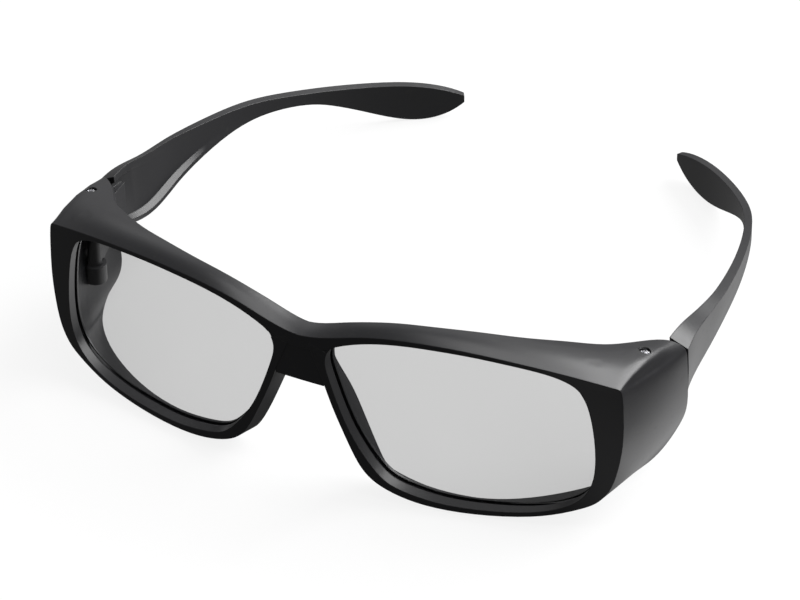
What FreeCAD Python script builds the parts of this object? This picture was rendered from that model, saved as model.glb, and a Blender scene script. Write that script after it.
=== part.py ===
import FreeCAD, Part
import math
import os
from FreeCAD import Vector

# Fit-over 3D viewing glasses, standing open on a surface
# Millimetres, +Z up, front towards -Y, origin under the middle of the bounding box
# The shapes are built in a design frame with the front of the bridge at y = 0,
# and every sub-part is placed from there by the same shift

doc = FreeCAD.newDocument("viewing_glasses")
sheet = doc.addObject("Spreadsheet::Sheet", "dims")

DIMENSIONS = [
    ("front_half_width", 77.0, "centre to the front corner of the moulding"),
    ("front_height", 50.0, "rest plane to the highest point of the front ridge"),
    ("wrap_radius", 192.0, "plan radius of the front face and the lenses"),
    ("shield_depth", 47.0, "front of the bridge to the gap in front of the temple"),
    ("wall", 1.8, "general wall of the moulding"),
    ("lip_depth", 3.0, "front of the rim to the front of the lens"),
    ("ledge", 0.9, "rim behind the lens"),
    ("groove_depth", 0.6, "how far the lens reaches into the rim"),
    ("lens_clearance", 0.1, "play of the lens in its groove, each side"),
    ("retarder_thickness", 0.3, "front layer of the lens"),
    ("polariser_thickness", 0.3, "middle layer of the lens"),
    ("backing_thickness", 0.4, "rear layer of the lens"),
    ("bridge_gap_z", 30.5, "underside of the bridge above the rest plane"),
    ("bridge_gap_half_width", 6.4, "half width of the underside of the bridge"),
    ("bridge_depth", 5.4, "front to back of the bridge"),
    ("bridge_step", 0.2, "face of the bridge behind the front of the rims"),
    ("hinge_inset", 1.6, "front corner of the moulding in to the hinge axis"),
    ("hinge_setback", 13.4, "temple gap forward to the hinge axis"),
    ("knuckle_radius", 1.8, "temple knuckle round the hinge screw"),
    ("knuckle_floor_z", 19.0, "underside of the temple knuckle"),
    ("knuckle_top_z", 33.6, "top of the temple knuckle"),
    ("lug_height", 5.0, "height of the lower hinge lug"),
    ("lug_radius", 2.9, "reach of both hinge lugs round the screw"),
    ("hinge_play", 0.3, "axial and side play round the knuckle"),
    ("screw_radius", 0.8, "shank of the hinge screw"),
    ("screw_play", 0.05, "radial play of the screw in its bores"),
    ("screw_length", 22.6, "shank under the head of the hinge screw"),
    ("screw_seat_z", 38.0, "underside of the screw head above the rest plane"),
    ("screw_head_radius", 1.4, "head of the hinge screw"),
    ("screw_head_height", 1.0, "head of the hinge screw"),
    ("screw_slot_width", 0.35, "cross recess of the screw"),
    ("screw_slot_depth", 0.5, "cross recess of the screw"),
    ("temple_gap", 0.5, "gap between the moulding and the temple shoulder"),
    ("temple_tip_y", 158.0, "front of the bridge to the tip of the temple"),
    ("temple_inset", 48.9, "outer skin at the shoulder in to the tip, across"),
    ("temple_shoulder_x", 80.9, "centre to the outer skin of the temple shoulder"),
    ("shoulder_lean", 0.16, "lean of the shoulder face, back per drop"),
    ("rail_height", 2.0, "height of the top rail along the inside of the temple"),
]

for row, (alias, value, note) in enumerate(DIMENSIONS, start=1):
    sheet.set("A%d" % row, str(value))
    sheet.setAlias("A%d" % row, alias)
    sheet.set("B%d" % row, note)
doc.recompute()


def size(alias):
    """Value of a named cell of the sheet."""
    return float(sheet.get(alias))


half_width = size("front_half_width")
height = size("front_height")
shield = size("shield_depth")
wrap = size("wrap_radius")
plate = (size("lip_depth") + size("retarder_thickness") + size("polariser_thickness")
         + size("backing_thickness") + size("ledge"))


def front_y(x):
    """The front face is a cylinder: setback from the bridge at half width x."""
    return wrap - math.sqrt(wrap * wrap - x * x)


# Front moulding
# Ribs of the moulding, from the bridge out along the brow, down the side, in
# along the bottom and up the nose. Each rib joins the front edge (x, z) and the
# lens edge (x, z) to the rear edge (x, y, z). x is a share of the front half
# width, z of the front height and y of the shield depth. The last number is
# the bulge of the outer skin between the front edge and the rear edge.
BROW = [
    ((-0.040, 0.884), (-0.040, 0.820), (-0.040, 0.120, 0.888), 0.3),
    ((0.039, 0.888), (0.052, 0.820), (0.039, 0.120, 0.896), 0.3),
    ((0.120, 0.920), (0.125, 0.866), (0.120, 0.120, 0.940), 0.3),
    ((0.205, 0.960), (0.210, 0.922), (0.205, 0.122, 0.984), 0.4),
    ((0.305, 0.989), (0.312, 0.958), (0.305, 0.136, 1.019), 0.4),
    ((0.430, 1.000), (0.445, 0.972), (0.420, 0.177, 1.028), 0.5),
    ((0.565, 0.992), (0.570, 0.966), (0.550, 0.255, 1.014), 0.7),
    ((0.700, 0.964), (0.685, 0.944), (0.672, 0.362, 0.974), 1.0),
    ((0.815, 0.928), (0.780, 0.914), (0.780, 0.500, 0.918), 1.4),
    ((0.905, 0.890), (0.846, 0.872), (0.872, 0.655, 0.848), 1.8),
    ((0.966, 0.860), (0.874, 0.838), (0.952, 0.850, 0.786), 2.0),
    ((0.992, 0.846), (0.884, 0.818), (1.010, 0.945, 0.750), 1.4),
]
CORNER = [
    ((1.000, 0.834), (0.890, 0.800), (1.042, 0.995, 0.690), 0.0),
    ((1.004, 0.812), (0.896, 0.780), (1.048, 1.000, 0.664), 0.2),
]
SIDE = [
    ((1.010, 0.660), (0.916, 0.670), (1.051, 1.010, 0.560), 0.5),
    ((1.009, 0.500), (0.929, 0.520), (1.049, 1.035, 0.420), 0.6),
    ((0.998, 0.360), (0.932, 0.370), (1.041, 1.060, 0.290), 0.6),
    ((0.978, 0.240), (0.919, 0.244), (1.025, 1.058, 0.190), 0.5),
]
BOTTOM = [
    ((0.948, 0.165), (0.890, 0.166), (1.006, 0.985, 0.115), 0.3),
    ((0.902, 0.116), (0.844, 0.114), (0.980, 0.810, 0.076), 0.1),
    ((0.818, 0.066), (0.780, 0.078), (0.910, 0.570, 0.072), 0.0),
    ((0.714, 0.032), (0.688, 0.054), (0.780, 0.375, 0.048), 0.0),
    ((0.585, 0.014), (0.578, 0.044), (0.623, 0.255, 0.012), 0.0),
    ((0.455, 0.014), (0.461, 0.048), (0.468, 0.198, 0.000), 0.0),
    ((0.350, 0.038), (0.364, 0.074), (0.350, 0.190, 0.010), 0.0),
]
NOSE = [
    ((0.268, 0.086), (0.292, 0.116), (0.266, 0.192, 0.036), 0.0),
    ((0.221, 0.144), (0.247, 0.184), (0.221, 0.194, 0.080), 0.0),
    ((0.186, 0.230), (0.212, 0.260), (0.184, 0.203, 0.180), 0.0),
    ((0.149, 0.360), (0.171, 0.372), (0.145, 0.214, 0.330), 0.0),
    ((0.108, 0.520), (0.130, 0.530), (0.104, 0.207, 0.490), 0.0),
    ((0.073, 0.680), (0.099, 0.680), (0.065, 0.180, 0.630), 0.0),
    ((0.047, 0.780), (0.090, 0.770), (0.045, 0.148, 0.740), 0.0),
    ((0.036, 0.850), (0.094, 0.820), (0.036, 0.128, 0.840), 0.0),
]
RIBS = BROW + CORNER + SIDE + BOTTOM + NOSE

LENS_MARGIN = 0.4   # the raw moulding runs this far into the lens opening
SKIN_STEPS = (0.0, 0.25, 0.5, 0.75, 1.0)


def flat_normal(points, index):
    """Unit normal of an outline at one point, in the x-z plane, towards the lens."""
    before = points[max(index - 1, 0)]
    after = points[min(index + 1, len(points) - 1)]
    along = after - before
    normal = Vector(along.z, 0, -along.x)
    return normal.normalize()


def rib_section(index):
    """Corners of the moulding's section at one rib, from the front edge round."""
    front, lens, rear, bulge = RIBS[index]
    fronts = [Vector(rib[0][0] * half_width, 0, rib[0][1] * height) for rib in RIBS]
    rears = [Vector(rib[2][0] * half_width, 0, rib[2][2] * height) for rib in RIBS]
    edge = fronts[index] + Vector(0, front_y(fronts[index].x), 0)
    back = rears[index] + Vector(0, rear[1] * shield, 0)
    opening = Vector(lens[0] * half_width, 0, lens[1] * height)
    inward_front = flat_normal(fronts, index)
    inward_back = flat_normal(rears, index)
    inward = (inward_front + inward_back).normalize()
    rim = (opening - fronts[index]).dot(inward_front)
    wall = min(size("wall"), 0.75 * abs(rim))

    skin = []
    for share in SKIN_STEPS:
        point = edge + (back - edge) * share
        skin.append(point - inward * (4 * bulge * share * (1 - share)))

    plate_y = front_y(opening.x) + plate
    share = min(max((plate_y - edge.y) / (back.y - edge.y), 0.0), 1.0)
    seat = edge + (back - edge) * share + inward * wall
    seat.y = plate_y
    lens_centre = Vector(0.51 * half_width, 0, 0.52 * height)
    cut_edge = opening + (lens_centre - opening).normalize() * LENS_MARGIN
    lens_back = Vector(cut_edge.x, plate_y, cut_edge.z)
    lens_front = Vector(cut_edge.x, front_y(cut_edge.x), cut_edge.z)
    return skin + [back + inward_back * wall, seat, lens_back, lens_front]


def flatten(section):
    """The section with every corner moved onto the plane of its three main corners."""
    front, back, lens = section[0], section[len(SKIN_STEPS) - 1], section[-1]
    normal = (back - front).cross(lens - front).normalize()
    return [point - normal * (point - front).dot(normal) for point in section]


def smooth_edge(points, parameters):
    """A spline edge through the points, with one parameter for each section."""
    curve = Part.BSplineCurve()
    curve.interpolate(Points=points, Parameters=parameters)
    return curve.toShape()


def skinned_solid(sections):
    """A closed solid of ruled skins between splines that run along its sections."""
    parameters = [0.0]
    for before, after in zip(sections[:-1], sections[1:]):
        step = max((b - a).Length for a, b in zip(before, after))
        parameters.append(parameters[-1] + math.sqrt(step))
    edges = []
    for corner in range(len(sections[0])):
        edges.append(smooth_edge([section[corner] for section in sections], parameters))
    faces = []
    for corner, edge in enumerate(edges):
        faces.append(Part.makeRuledSurface(edge, edges[(corner + 1) % len(edges)]))
    for section in (sections[0], sections[-1]):
        faces.append(Part.Face(Part.makePolygon(section + section[:1])))
    shell = Part.makeShell(faces)
    shell.sewShape()
    solid = Part.makeSolid(shell)
    if solid.Volume < 0:
        solid.reverse()
    return solid


def slab(front_offset, back_offset):
    """A tall layer between two copies of the front cylinder, set back along y."""
    reach = 1.4 * half_width
    outer = []
    for offset in (front_offset, back_offset):
        arc = Part.Arc(Vector(-reach, front_y(reach) + offset, LOW), Vector(0, offset, LOW),
                       Vector(reach, front_y(reach) + offset, LOW))
        outer.append(arc.toShape())
    sides = [Part.makeLine(outer[0].Vertexes[end].Point, outer[1].Vertexes[end].Point)
             for end in (0, 1)]
    face = Part.Face(Part.Wire(Part.__sortEdges__(outer + sides)))
    return face.extrude(Vector(0, 0, HIGH - LOW))


def opening_prism(grow):
    """The lens outline, grown by a distance, pushed through from front to back."""
    outline = [Vector(rib[1][0] * half_width, -10, rib[1][1] * height) for rib in RIBS[2:-1]]
    points = []
    for before, point, after in zip(outline[-1:] + outline[:-1], outline, outline[1:] + outline[:1]):
        along = after - before
        outward = Vector(-along.z, 0, along.x).normalize()
        points.append(point + outward * grow)
    curve = Part.BSplineCurve()
    curve.interpolate(Points=points, PeriodicFlag=True)
    return Part.Face(Part.Wire([curve.toShape()])).extrude(Vector(0, 80, 0))


LOW = -10
HIGH = 1.3 * height
lens_front = size("lip_depth")
lens_back = plate - size("ledge")
play = size("lens_clearance")
hinge = Vector(half_width - size("hinge_inset"), shield - size("hinge_setback"), 0)
hinge_play = size("hinge_play")
knuckle_radius = size("knuckle_radius")
knuckle_floor = size("knuckle_floor_z")
knuckle_top = size("knuckle_top_z")
lug_radius = size("lug_radius")
lug_top = knuckle_floor - hinge_play
lug_floor = lug_top - size("lug_height")


def cylinder(radius, low, high):
    """An upright cylinder between two heights on the hinge axis."""
    return Part.makeCylinder(radius, high - low, Vector(hinge.x, hinge.y, low))


def bridge_block():
    """Half of the bridge between the lenses, from its gap up into the brow."""
    gap_z = size("bridge_gap_z")
    gap_x = size("bridge_gap_half_width")
    corners = [(-2, gap_z), (gap_x, gap_z), (gap_x + 1.6, 0.72 * height),
               (0.12 * half_width, 0.885 * height), (-2, 0.86 * height)]
    points = [Vector(x, -1, z) for x, z in corners]
    face = Part.Face(Part.makePolygon(points + points[:1]))
    block = face.extrude(Vector(0, 1 + size("bridge_depth"), 0))
    return block.cut(slab(-40, size("bridge_step")))


def half_front():
    """The right half of the moulding, cut off flat on the middle plane."""
    sections = [rib_section(index) for index in range(len(RIBS))]
    sections[0] = flatten(sections[0])
    sections[-1] = flatten(sections[-1])
    body = skinned_solid(sections).fuse(bridge_block())
    opening = opening_prism(0).common(slab(-20, plate + 3.0))
    groove = opening_prism(size("groove_depth") + play).common(
        slab(lens_front - play, lens_back + play))
    body = body.cut(opening).cut(groove)

    side_wall = Part.makeBox(1.4, 2 * lug_radius, size("lug_height"),
                             Vector(hinge.x, hinge.y - lug_radius, lug_floor))
    upper = cylinder(lug_radius, knuckle_top + hinge_play, knuckle_top + hinge_play + 3.2)
    lower = cylinder(lug_radius, lug_floor, lug_top)
    keep_inside = Part.makeBox(20, 40, HIGH, Vector(hinge.x - 18.2, hinge.y - 20, 0))
    body = body.fuse([upper.common(keep_inside), lower.common(keep_inside), side_wall])

    pocket = cylinder(knuckle_radius + hinge_play, lug_top, knuckle_top + hinge_play)
    bore = cylinder(size("screw_radius") + size("screw_play"), lug_floor + 0.8, HIGH)
    recess = cylinder(size("screw_head_radius") + size("lens_clearance"), size("screw_seat_z"), HIGH)
    body = body.cut(pocket).cut(bore).cut(recess)
    keep = Part.makeBox(200, 200, 200, Vector(0, -50, -50))
    return body.common(keep)


def mirrored(shape):
    """The same shape on the other side of the middle plane."""
    return shape.mirror(Vector(0, 0, 0), Vector(1, 0, 0))


# Temples
# Sections from the shoulder behind the moulding to the tip. Place along the
# temple, inset of the outer skin, heights of the outer top, the inner top and
# the bottom, all as shares, then the width of the top and the inset of the
# outer and the inner bottom edge in millimetres, and the wall between them.
TEMPLE = [
    (0.00, 0.000, 0.676, 0.734, 0.398, 4.6, 0.5, 3.6, 3.4),
    (0.07, 0.020, 0.672, 0.716, 0.345, 3.6, 1.3, 4.1, 3.0),
    (0.14, 0.040, 0.636, 0.668, 0.316, 2.9, 1.8, 4.1, 2.7),
    (0.21, 0.053, 0.606, 0.630, 0.326, 2.4, 1.6, 3.9, 2.4),
    (0.28, 0.067, 0.578, 0.594, 0.344, 2.3, 1.3, 3.5, 2.3),
    (0.42, 0.119, 0.518, 0.522, 0.362, 2.2, 0.4, 2.6, 2.2),
    (0.57, 0.204, 0.444, 0.442, 0.348, 2.1, 0.0, 2.1, 2.1),
    (0.71, 0.323, 0.344, 0.338, 0.268, 2.0, 0.0, 2.0, 2.0),
    (0.78, 0.413, 0.298, 0.292, 0.198, 1.9, 0.0, 1.9, 1.9),
    (0.85, 0.542, 0.260, 0.254, 0.100, 1.8, 0.0, 1.8, 1.8),
    (0.92, 0.720, 0.226, 0.222, 0.008, 1.8, 0.0, 1.8, 1.8),
    (0.965, 0.870, 0.190, 0.186, 0.010, 1.8, 0.0, 1.8, 1.8),
    (1.00, 1.000, 0.130, 0.130, 0.090, 1.6, 0.0, 1.6, 1.6),
]


def temple_path():
    """Plan points of the outer skin of the temple, from the shoulder to the tip."""
    start = shield + size("temple_gap")
    length = size("temple_tip_y") - start
    return [Vector(size("temple_shoulder_x") - rib[1] * size("temple_inset"),
                   start + rib[0] * length, 0) for rib in TEMPLE]


def temple_section(index):
    """Corners of the temple's section at one place, from the outer top round."""
    path = temple_path()
    along = path[min(index + 1, len(path) - 1)] - path[max(index - 1, 0)]
    inward = Vector(-along.y, along.x, 0).normalize()
    outer_top, inner_top, bottom = [share * height for share in TEMPLE[index][2:5]]
    top, outer_foot, inner_foot, wall = TEMPLE[index][5:]
    tall = outer_top - bottom
    rail = min(size("rail_height"), 0.25 * tall)
    lean = size("shoulder_lean") if index == 0 else 0.0
    corners = [(0.0, outer_top), (top, inner_top), (top, inner_top - rail),
               (wall, inner_top - 1.5 * rail), (wall, bottom + 1.5 * rail * 0.8),
               (inner_foot, bottom + 0.6 * rail), (inner_foot, bottom), (outer_foot, bottom),
               (0.25 * outer_foot, bottom + 0.55 * tall)]
    return [path[index] + inward * inset + Vector(0, lean * (outer_top - z), z)
            for inset, z in corners]


def temple_arm():
    """The right temple with its tongue and knuckle, bored for the screw."""
    arm = skinned_solid([temple_section(index) for index in range(len(TEMPLE))])
    low = knuckle_floor
    high = knuckle_top
    shoulder_y = shield + size("temple_gap") + 2.0
    points = [hinge + Vector(-1.4, 0, low), hinge + Vector(1.2, 0, low),
              Vector(size("temple_shoulder_x") - 2.9, shoulder_y, low),
              Vector(size("temple_shoulder_x") - 2.9, shoulder_y + 2.2, low),
              Vector(size("temple_shoulder_x") - 4.6, shoulder_y + 2.2, low)]
    tongue = Part.Face(Part.makePolygon(points + points[:1])).extrude(Vector(0, 0, high - low))
    slope = Part.Face(Part.makePolygon([
        Vector(0, hinge.y - 5, low), Vector(0, hinge.y + 3, low),
        Vector(0, shoulder_y + 3, low + 3.6), Vector(0, shoulder_y + 3, high - 2.0),
        Vector(0, hinge.y + 5, high), Vector(0, hinge.y - 5, high),
        Vector(0, hinge.y - 5, low)])).extrude(Vector(100, 0, 0))
    tongue = tongue.common(slope)
    bore = cylinder(size("screw_radius") + size("screw_play"), LOW, HIGH)
    return arm.fuse([tongue, cylinder(knuckle_radius, low, high)]).cut(bore)


# Lens layers
# Three layers of one outline, pressed together in the groove of the rim
retarder_back = lens_front + size("retarder_thickness")
polariser_back = retarder_back + size("polariser_thickness")
LAYERS = [
    ("retarder_film", lens_front, retarder_back),
    ("polarising_film", retarder_back, polariser_back),
    ("lens_backing", polariser_back, lens_back),
]


def lens_layer(front, back):
    """One layer of the right lens between two depths behind the front face."""
    return opening_prism(size("groove_depth")).common(slab(front, back))


# Document
shift = Vector(0, -0.5 * size("temple_tip_y"), 0)
parts = []


def add_shape(label, shape):
    """A sub-part from a finished shape, placed by the common shift."""
    item = doc.addObject("Part::Feature", label)
    item.Shape = shape
    item.Label = label
    item.Placement = FreeCAD.Placement(shift, FreeCAD.Rotation())
    parts.append(item)


def add_cylinder(label, radius, tall):
    """A cylinder whose radius and height follow two cells of the sheet."""
    item = doc.addObject("Part::Cylinder", label)
    item.setExpression("Radius", "dims." + radius)
    item.setExpression("Height", "dims." + tall)
    return item


def add_screw(label, side):
    """A cross-head hinge screw, its head up and its seat at its own origin."""
    shank = add_cylinder(label + "_shank", "screw_radius", "screw_length")
    shank.setExpression("Placement.Base.z", "-dims.screw_length")
    head = add_cylinder(label + "_head", "screw_head_radius", "screw_head_height")
    blank = doc.addObject("Part::Fuse", label + "_blank")
    blank.Base = shank
    blank.Tool = head
    slots = []
    for name, long_axis, short_axis in (("_slot_x", "Length", "Width"), ("_slot_y", "Width", "Length")):
        slot = doc.addObject("Part::Box", label + name)
        slot.setExpression(long_axis, "1.3 * dims.screw_head_radius")
        slot.setExpression(short_axis, "dims.screw_slot_width")
        slot.setExpression("Height", "dims.screw_slot_depth")
        slot.setExpression("Placement.Base.x", "-0.5 * Length")
        slot.setExpression("Placement.Base.y", "-0.5 * Width")
        slot.setExpression("Placement.Base.z", "dims.screw_head_height - dims.screw_slot_depth")
        slots.append(slot)
    cross = doc.addObject("Part::Fuse", label + "_cross")
    cross.Base = slots[0]
    cross.Tool = slots[1]
    screw = doc.addObject("Part::Cut", label)
    screw.Base = blank
    screw.Tool = cross
    screw.Label = label
    seat = Vector(side * hinge.x, hinge.y, size("screw_seat_z"))
    screw.Placement = FreeCAD.Placement(seat + shift, FreeCAD.Rotation())
    parts.append(screw)


right_half = half_front()
add_shape("front_frame", right_half.fuse(mirrored(right_half)).removeSplitter())
for name, front, back in LAYERS:
    layer = lens_layer(front, back)
    add_shape("right_" + name, layer)
    add_shape("left_" + name, mirrored(layer))
right_arm = temple_arm()
add_shape("right_temple", right_arm)
add_shape("left_temple", mirrored(right_arm))
add_screw("right_hinge_screw", 1)
add_screw("left_hinge_screw", -1)
doc.recompute()

for item in doc.Objects:
    if "Invalid" in item.State or "Error" in item.State:
        raise RuntimeError("%s is %s" % (item.Label, item.State))
for item in parts:
    if item.Shape.isNull() or not item.Shape.isValid():
        raise RuntimeError("%s has no valid shape" % item.Label)
    if len(item.Shape.Solids) != 1:
        raise RuntimeError("%s is in %d solids" % (item.Label, len(item.Shape.Solids)))

os.makedirs("parts", exist_ok=True)
for item in parts:
    item.Shape.exportStep("parts/%s.step" % item.Label)
    print(item.Label, round(item.Shape.Volume, 1))
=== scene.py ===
import math

import bmesh
import bpy
import numpy as np
from mathutils import Matrix, Vector


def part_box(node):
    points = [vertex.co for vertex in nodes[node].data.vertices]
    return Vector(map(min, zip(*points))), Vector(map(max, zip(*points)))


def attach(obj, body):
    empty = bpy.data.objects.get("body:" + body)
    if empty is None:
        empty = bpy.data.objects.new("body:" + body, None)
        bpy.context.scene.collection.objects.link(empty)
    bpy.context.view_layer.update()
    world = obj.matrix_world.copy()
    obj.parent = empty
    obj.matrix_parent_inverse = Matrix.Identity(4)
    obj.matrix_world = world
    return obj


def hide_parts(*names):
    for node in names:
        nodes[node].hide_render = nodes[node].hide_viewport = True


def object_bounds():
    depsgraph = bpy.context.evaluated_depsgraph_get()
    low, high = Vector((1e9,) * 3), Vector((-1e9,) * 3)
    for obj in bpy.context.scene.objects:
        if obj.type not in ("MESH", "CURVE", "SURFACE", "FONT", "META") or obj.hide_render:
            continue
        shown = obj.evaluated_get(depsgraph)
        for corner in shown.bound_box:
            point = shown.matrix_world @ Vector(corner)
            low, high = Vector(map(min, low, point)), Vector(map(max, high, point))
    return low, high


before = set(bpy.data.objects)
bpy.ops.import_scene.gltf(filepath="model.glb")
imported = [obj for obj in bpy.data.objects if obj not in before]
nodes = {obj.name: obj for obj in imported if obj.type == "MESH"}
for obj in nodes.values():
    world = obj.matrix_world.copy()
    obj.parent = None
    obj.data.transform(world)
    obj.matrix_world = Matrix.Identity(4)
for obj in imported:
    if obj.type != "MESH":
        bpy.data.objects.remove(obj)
first_low, first_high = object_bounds()

# Front moulding
# Brow, bridge, rims and side shields are one dark moulding with a satin gloss, thin dust
# and a faint mould texture. The bevel node rounds its edges in the normal, so that every
# ridge takes a thin light line.
def material(name):
    """A new empty node material: (material, nodes, links, output)."""
    made = bpy.data.materials.new(name)
    made.use_nodes = True
    tree = made.node_tree
    tree.nodes.clear()
    output = tree.nodes.new("ShaderNodeOutputMaterial")
    return made, tree.nodes, tree.links, output


def ramp(tree, low, high, start, end):
    """Map range node in a node tree: low to high becomes start to end, and no further."""
    made = tree.new("ShaderNodeMapRange")
    made.inputs["From Min"].default_value = low
    made.inputs["From Max"].default_value = high
    made.inputs["To Min"].default_value = start
    made.inputs["To Max"].default_value = end
    return made


def surface_group():
    """Node group: normal of the moulded surface, and a mask of faint dust."""
    group = bpy.data.node_groups.new("moulded_surface", "ShaderNodeTree")
    group.interface.new_socket("Edge", in_out="INPUT", socket_type="NodeSocketFloat")
    group.interface.new_socket("Normal", in_out="OUTPUT", socket_type="NodeSocketVector")
    group.interface.new_socket("Dust", in_out="OUTPUT", socket_type="NodeSocketFloat")
    inside = group.nodes.new("NodeGroupInput")
    outside = group.nodes.new("NodeGroupOutput")
    place = group.nodes.new("ShaderNodeTexCoord")
    grain = group.nodes.new("ShaderNodeTexNoise")
    grain.inputs["Scale"].default_value = 700.0
    grain.inputs["Detail"].default_value = 2.0
    ripple = group.nodes.new("ShaderNodeTexNoise")
    ripple.inputs["Scale"].default_value = 60.0
    ripple.inputs["Detail"].default_value = 1.0
    edge = group.nodes.new("ShaderNodeBevel")
    edge.samples = 6
    fine = group.nodes.new("ShaderNodeBump")
    fine.inputs["Strength"].default_value = 0.006
    fine.inputs["Distance"].default_value = 0.0002
    broad = group.nodes.new("ShaderNodeBump")
    broad.inputs["Strength"].default_value = 0.03
    broad.inputs["Distance"].default_value = 0.0006
    spread = ramp(group.nodes, 0.60, 0.78, 0.0, 1.0)
    link = group.links.new
    for texture in (grain, ripple):
        link(place.outputs["Object"], texture.inputs["Vector"])
    link(inside.outputs["Edge"], edge.inputs["Radius"])
    link(edge.outputs["Normal"], broad.inputs["Normal"])
    link(ripple.outputs["Fac"], broad.inputs["Height"])
    link(broad.outputs["Normal"], fine.inputs["Normal"])
    link(grain.outputs["Fac"], fine.inputs["Height"])
    link(grain.outputs["Fac"], spread.inputs["Value"])
    link(fine.outputs["Normal"], outside.inputs["Normal"])
    link(spread.outputs["Result"], outside.inputs["Dust"])
    return group


moulded = surface_group()


def plastic(name, shade, rough, edge_radius):
    """Dark satin plastic with the moulded surface, and a little dust in its roughness."""
    dust_dulls = 0.05
    dust_lightens = 1.3
    blue_cast = 1.12
    made, tree, links, output = material(name)
    shader = tree.new("ShaderNodeBsdfPrincipled")
    shader.inputs["IOR"].default_value = 1.50
    shader.inputs["Specular IOR Level"].default_value = 0.5
    group = tree.new("ShaderNodeGroup")
    group.node_tree = moulded
    group.inputs["Edge"].default_value = edge_radius
    tone = tree.new("ShaderNodeMix")
    tone.data_type = "RGBA"
    tone.inputs["A"].default_value = (shade, shade, shade * blue_cast, 1.0)
    tone.inputs["B"].default_value = (*[shade * dust_lightens] * 3, 1.0)
    worn = ramp(tree, 0.0, 1.0, rough, rough + dust_dulls)
    links.new(group.outputs["Dust"], tone.inputs["Factor"])
    links.new(group.outputs["Dust"], worn.inputs["Value"])
    links.new(tone.outputs["Result"], shader.inputs["Base Color"])
    links.new(worn.outputs["Result"], shader.inputs["Roughness"])
    links.new(group.outputs["Normal"], shader.inputs["Normal"])
    links.new(shader.outputs["BSDF"], output.inputs["Surface"])
    return made


def shell(name, body, coat):
    """The node's own form as one welded skin, shaded smooth and creased only at real edges."""
    weld = 0.000004
    crease = math.radians(24.0)
    skin = bmesh.new()
    skin.from_mesh(nodes[name].data)
    bmesh.ops.remove_doubles(skin, verts=skin.verts, dist=weld)
    mesh = bpy.data.meshes.new(name + "_shell")
    skin.to_mesh(mesh)
    skin.free()
    for kind in ("custom_normal", "sharp_edge", "sharp_face"):
        if kind in mesh.attributes:
            mesh.attributes.remove(mesh.attributes[kind])
    mesh.shade_smooth()
    mesh.set_sharp_from_angle(angle=crease)
    mesh.materials.clear()
    mesh.materials.append(coat)
    piece = bpy.data.objects.new(name + "_shell", mesh)
    bpy.context.collection.objects.link(piece)
    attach(piece, body)
    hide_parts(name)
    return piece


frame_plastic = plastic("frame_plastic", 0.015, 0.36, 0.0003)
shell("front_frame", "front", frame_plastic)

# Lens layers
# One sheet shows for the three pressed layers. Light goes straight through it with a tint.
# Its reflection takes the normal of the lens cylinder, which stands upright behind the bridge.
wrap_radius = 0.192


def film(name, tint, gloss, rough):
    """Thin clear sheet: a transparent tint under a reflection that grows edge on."""
    smear_darkens = 0.985
    head_on_share = 0.05
    edge_power = 4.0
    made, tree, links, output = material(name)
    place = tree.new("ShaderNodeTexCoord")
    smear = tree.new("ShaderNodeTexNoise")
    smear.inputs["Scale"].default_value = 45.0
    smear.inputs["Detail"].default_value = 1.0
    tone = tree.new("ShaderNodeMix")
    tone.data_type = "RGBA"
    tone.inputs["A"].default_value = (*tint, 1.0)
    tone.inputs["B"].default_value = (*[value * smear_darkens for value in tint], 1.0)
    clear = tree.new("ShaderNodeBsdfTransparent")
    sheen = tree.new("ShaderNodeBsdfGlossy")
    sheen.inputs["Roughness"].default_value = rough
    offset = tree.new("ShaderNodeVectorMath")
    offset.operation = "SUBTRACT"
    offset.inputs[1].default_value = (0.0, first_low.y + wrap_radius, 0.0)
    flat = tree.new("ShaderNodeVectorMath")
    flat.operation = "MULTIPLY"
    flat.inputs[1].default_value = (1.0, 1.0, 0.0)
    radial = tree.new("ShaderNodeVectorMath")
    radial.operation = "NORMALIZE"
    facing = tree.new("ShaderNodeLayerWeight")
    edge_on = tree.new("ShaderNodeMath")
    edge_on.operation = "POWER"
    edge_on.inputs[1].default_value = edge_power
    amount = tree.new("ShaderNodeMath")
    amount.operation = "MULTIPLY_ADD"
    amount.inputs[1].default_value = gloss
    amount.inputs[2].default_value = head_on_share * gloss
    mix = tree.new("ShaderNodeMixShader")
    links.new(place.outputs["Object"], smear.inputs["Vector"])
    links.new(smear.outputs["Fac"], tone.inputs["Factor"])
    links.new(tone.outputs["Result"], clear.inputs["Color"])
    links.new(place.outputs["Object"], offset.inputs[0])
    links.new(offset.outputs["Vector"], flat.inputs[0])
    links.new(flat.outputs["Vector"], radial.inputs[0])
    links.new(radial.outputs["Vector"], sheen.inputs["Normal"])
    links.new(radial.outputs["Vector"], facing.inputs["Normal"])
    links.new(facing.outputs["Facing"], edge_on.inputs[0])
    links.new(edge_on.outputs["Value"], amount.inputs[0])
    links.new(amount.outputs["Value"], mix.inputs["Fac"])
    links.new(clear.outputs["BSDF"], mix.inputs[1])
    links.new(sheen.outputs["BSDF"], mix.inputs[2])
    links.new(mix.outputs["Shader"], output.inputs["Surface"])
    return made


grey_film = film("polarising_film", (0.785, 0.785, 0.785), 0.5, 0.05)
for side in ("right", "left"):
    sheet = shell(side + "_polarising_film", "front", grey_film)
    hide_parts(side + "_retarder_film", side + "_lens_backing")

# Temples
# Each temple is one moulding of the same plastic, a shade duller than the front.
# Its knuckle turns between the two lugs of the front, round the hinge screw.
temple_plastic = plastic("temple_plastic", 0.015, 0.38, 0.0003)
for side in ("right", "left"):
    shell(side + "_temple", side + "_arm", temple_plastic)

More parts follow.
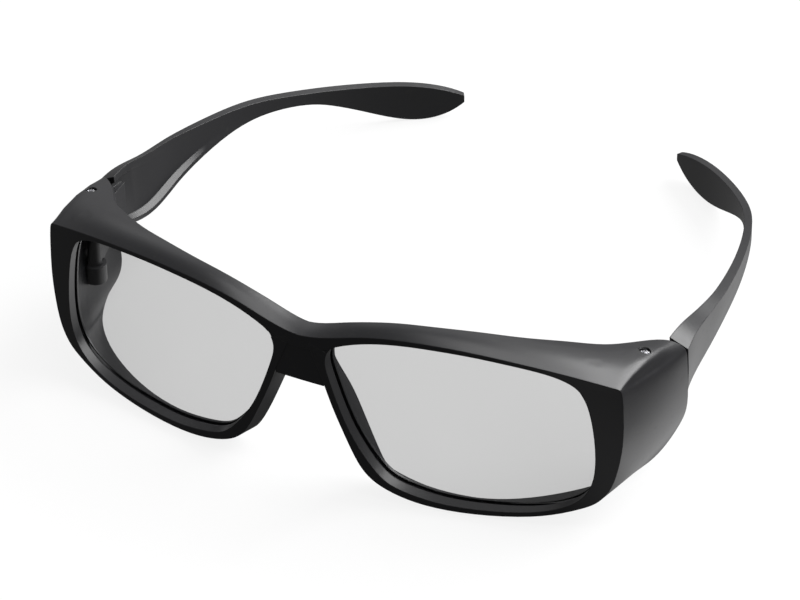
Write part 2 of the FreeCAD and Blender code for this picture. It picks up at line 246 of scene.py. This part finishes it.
# Hinge screws
# Bright plated steel, with a cross pressed into a domed head.
# Each goes down from the brow through the lugs and the knuckle of its temple.
def plated_steel():
    """Plated screw steel, its roughness mottled by a fine grain."""
    made, tree, links, output = material("screw_steel")
    shader = tree.new("ShaderNodeBsdfPrincipled")
    shader.inputs["Metallic"].default_value = 1.0
    shader.inputs["Base Color"].default_value = (0.74, 0.74, 0.76, 1.0)
    place = tree.new("ShaderNodeTexCoord")
    grain = tree.new("ShaderNodeTexNoise")
    grain.inputs["Scale"].default_value = 1400.0
    worn = ramp(tree, 0.0, 1.0, 0.18, 0.38)
    links.new(place.outputs["Object"], grain.inputs["Vector"])
    links.new(grain.outputs["Fac"], worn.inputs["Value"])
    links.new(worn.outputs["Result"], shader.inputs["Roughness"])
    links.new(shader.outputs["BSDF"], output.inputs["Surface"])
    return made


def skin_of(rings):
    """Mesh of a grid of points, rings by steps round, closed round and capped at both ends."""
    count, steps = rings.shape[:2]
    faces = []
    for ring in range(count - 1):
        for step in range(steps):
            after = (step + 1) % steps
            faces.append((ring * steps + step, ring * steps + after,
                          (ring + 1) * steps + after, (ring + 1) * steps + step))
    faces.append(tuple(range(steps))[::-1])
    faces.append(tuple(range((count - 1) * steps, count * steps)))
    mesh = bpy.data.meshes.new("skin")
    mesh.from_pydata(rings.reshape(-1, 3).tolist(), [], faces)
    return mesh


def hinge_screw(side, coat):
    """Hinge screw: a straight shank, then a domed head with a cross pressed into it.

    Ring k of the head has radius r = R cos(t) and height z = top - dome (1 - sin(t)),
    with t from 0 at the rim to a right angle at the middle. The cross lowers z where
    |x| or |y| is under half a slot width. The head stands higher than the solid's by
    rise_over, because down in its recess it would not be seen.
    """
    low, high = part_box(side + "_hinge_screw")
    middle = (Vector(low) + Vector(high)) / 2
    head_radius = (high[0] - low[0]) / 2
    shank_radius = 0.57 * head_radius
    head_height = 0.0010
    rise_over = 0.0019
    dome = 0.0005
    slot_half = 0.0002
    slot_depth = 0.0004
    top = high[2] + rise_over
    turn = np.linspace(0, 2 * np.pi, 96, endpoint=False)
    rise = np.linspace(0, 0.98 * np.pi / 2, 16)
    radii = np.concatenate([[shank_radius, shank_radius, head_radius * 0.97, head_radius],
                            head_radius * np.cos(rise)])
    seat = high[2] - head_height
    levels = np.concatenate([[low[2], seat, seat, seat + 0.05 * head_height],
                             top - dome * (1 - np.sin(rise))])
    x = radii[:, None] * np.cos(turn)
    y = radii[:, None] * np.sin(turn)
    z = np.repeat(levels[:, None], len(turn), axis=1)
    near_slot = np.minimum(np.abs(x), np.abs(y)) < slot_half
    inside_head = (np.hypot(x, y) < 0.8 * head_radius) & (levels[:, None] > top - dome)
    z = np.where(near_slot & inside_head, z - slot_depth, z)
    mesh = skin_of(np.stack([x + middle.x, y + middle.y, z], axis=-1))
    mesh.shade_smooth()
    mesh.set_sharp_from_angle(angle=math.radians(40.0))
    mesh.materials.append(coat)
    piece = bpy.data.objects.new(side + "_hinge_screw_head", mesh)
    bpy.context.collection.objects.link(piece)
    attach(piece, "front")
    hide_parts(side + "_hinge_screw")
    return piece


steel = plated_steel()
for side in ("right", "left"):
    hinge_screw(side, steel)

# Stage
# A white table under the glasses, which the camera sees white with a soft shadow.
# Reflections see it dim, apart from a glow beside the near shield and inside the far one.
floor_mesh = bpy.data.meshes.new("floor")
reach = 4.0
floor_gap = 0.0002
corners = [(-reach, -reach, 0), (reach, -reach, 0), (reach, reach, 0), (-reach, reach, 0)]
floor_mesh.from_pydata(corners, [], [(0, 1, 2, 3)])
floor = bpy.data.objects.new("floor", floor_mesh)
floor.location.z = first_low.z - floor_gap
bpy.context.collection.objects.link(floor)
shield_side = first_high.x
shield_front = first_low.y
inner_glow_place = (-0.052, -0.030, 0.0)
seen_as_white = 0.86
white, tree, links, output = material("white_table")
paper = tree.new("ShaderNodeBsdfDiffuse")
paper.inputs["Color"].default_value = (0.92, 0.92, 0.92, 1.0)
mirrored = tree.new("ShaderNodeEmission")
place = tree.new("ShaderNodeTexCoord")
along = tree.new("ShaderNodeSeparateXYZ")
start = ramp(tree, shield_side - 0.015, shield_side, 0.25, 1.0)
fade = ramp(tree, shield_side + 0.012, shield_side + 0.030, 1.05, 0.12)
ahead = ramp(tree, shield_front + 0.020, shield_front + 0.036, 0.3, 1.0)
behind = tree.new("ShaderNodeMath")
behind.operation = "MULTIPLY"
shielded = tree.new("ShaderNodeVectorMath")
shielded.operation = "DISTANCE"
shielded.inputs[1].default_value = inner_glow_place
inner = ramp(tree, 0.014, 0.030, 1.3, 0.0)
both = tree.new("ShaderNodeMath")
both.operation = "ADD"
glow = tree.new("ShaderNodeMath")
glow.operation = "MULTIPLY"
seen = tree.new("ShaderNodeEmission")
seen.inputs["Color"].default_value = (1.0, 1.0, 1.0, 1.0)
path = tree.new("ShaderNodeLightPath")
lit = tree.new("ShaderNodeMixShader")
lit.inputs["Fac"].default_value = seen_as_white
pick = tree.new("ShaderNodeMixShader")
links.new(paper.outputs["BSDF"], lit.inputs[1])
links.new(seen.outputs["Emission"], lit.inputs[2])
links.new(path.outputs["Is Camera Ray"], pick.inputs["Fac"])
links.new(place.outputs["Object"], along.inputs["Vector"])
links.new(along.outputs["X"], start.inputs["Value"])
links.new(along.outputs["X"], fade.inputs["Value"])
links.new(start.outputs["Result"], glow.inputs[0])
links.new(fade.outputs["Result"], glow.inputs[1])
links.new(along.outputs["Y"], ahead.inputs["Value"])
links.new(glow.outputs["Value"], behind.inputs[0])
links.new(ahead.outputs["Result"], behind.inputs[1])
links.new(place.outputs["Object"], shielded.inputs[0])
links.new(shielded.outputs["Value"], inner.inputs["Value"])
links.new(behind.outputs["Value"], both.inputs[0])
links.new(inner.outputs["Result"], both.inputs[1])
links.new(both.outputs["Value"], mirrored.inputs["Strength"])
links.new(mirrored.outputs["Emission"], pick.inputs[1])
links.new(lit.outputs["Shader"], pick.inputs[2])
links.new(pick.outputs["Shader"], output.inputs["Surface"])
floor_mesh.materials.append(white)


def softbox(name, place, width, height, power):
    """A rectangular area light at a place, turned to the middle of the glasses."""
    light = bpy.data.lights.new(name, "AREA")
    light.shape = "RECTANGLE"
    light.size = width
    light.size_y = height
    light.energy = power
    item = bpy.data.objects.new(name, light)
    item.location = place
    item.rotation_euler = (-Vector(place)).to_track_quat("-Z", "Y").to_euler()
    bpy.context.collection.objects.link(item)
    return item


softbox("top_light", (0.20, 0.10, 1.50), 0.9, 0.9, 9.0)
softbox("back_light", (-0.50, 1.30, 1.00), 1.4, 1.3, 4.0)
softbox("right_light", (0.95, 1.10, 1.15), 1.5, 1.5, 58.0)

world = bpy.data.worlds.new("studio")
world.use_nodes = True
air = world.node_tree
backdrop = air.nodes["Background"]
backdrop.inputs["Color"].default_value = (1.0, 1.0, 1.0, 1.0)
glance = air.nodes.new("ShaderNodeLightPath")
strength = ramp(air.nodes, 0.0, 1.0, 0.22, 1.0)
air.links.new(glance.outputs["Is Camera Ray"], strength.inputs["Value"])
air.links.new(strength.outputs["Result"], backdrop.inputs["Strength"])
bpy.context.scene.world = world
bpy.context.scene.view_settings.view_transform = "Standard"

# Camera
# It looks down from the front, from the viewer's right of the glasses, through a long lens.
# The two aims slide it sideways and up, and the last value follows the front of the glasses.
azimuth = math.radians(26.556)
elevation = math.radians(37.078)
roll = math.radians(-0.493)
distance = 1.162269
focal_pixels = 4721.266
image_width = 800
aim_right = 0.017197
aim_up = 0.035168
front_set_forward = 0.0637

back = Vector((math.sin(azimuth) * math.cos(elevation),
               -math.cos(azimuth) * math.cos(elevation), math.sin(elevation)))
level = Vector((math.cos(azimuth), math.sin(azimuth), 0.0))
upright = back.cross(level)
right = level * math.cos(roll) + upright * math.sin(roll)
up = upright * math.cos(roll) - level * math.sin(roll)
eye = right * aim_right + up * aim_up + back * distance - Vector((0, front_set_forward, 0))

long_lens = bpy.data.cameras.new("camera")
long_lens.sensor_width = 36.0
long_lens.lens = focal_pixels * long_lens.sensor_width / image_width
long_lens.clip_start = 0.05
long_lens.clip_end = 20.0
camera = bpy.data.objects.new("camera", long_lens)
camera.matrix_world = Matrix.Translation(eye) @ Matrix((right, up, back)).transposed().to_4x4()
bpy.context.collection.objects.link(camera)
bpy.context.scene.camera = camera
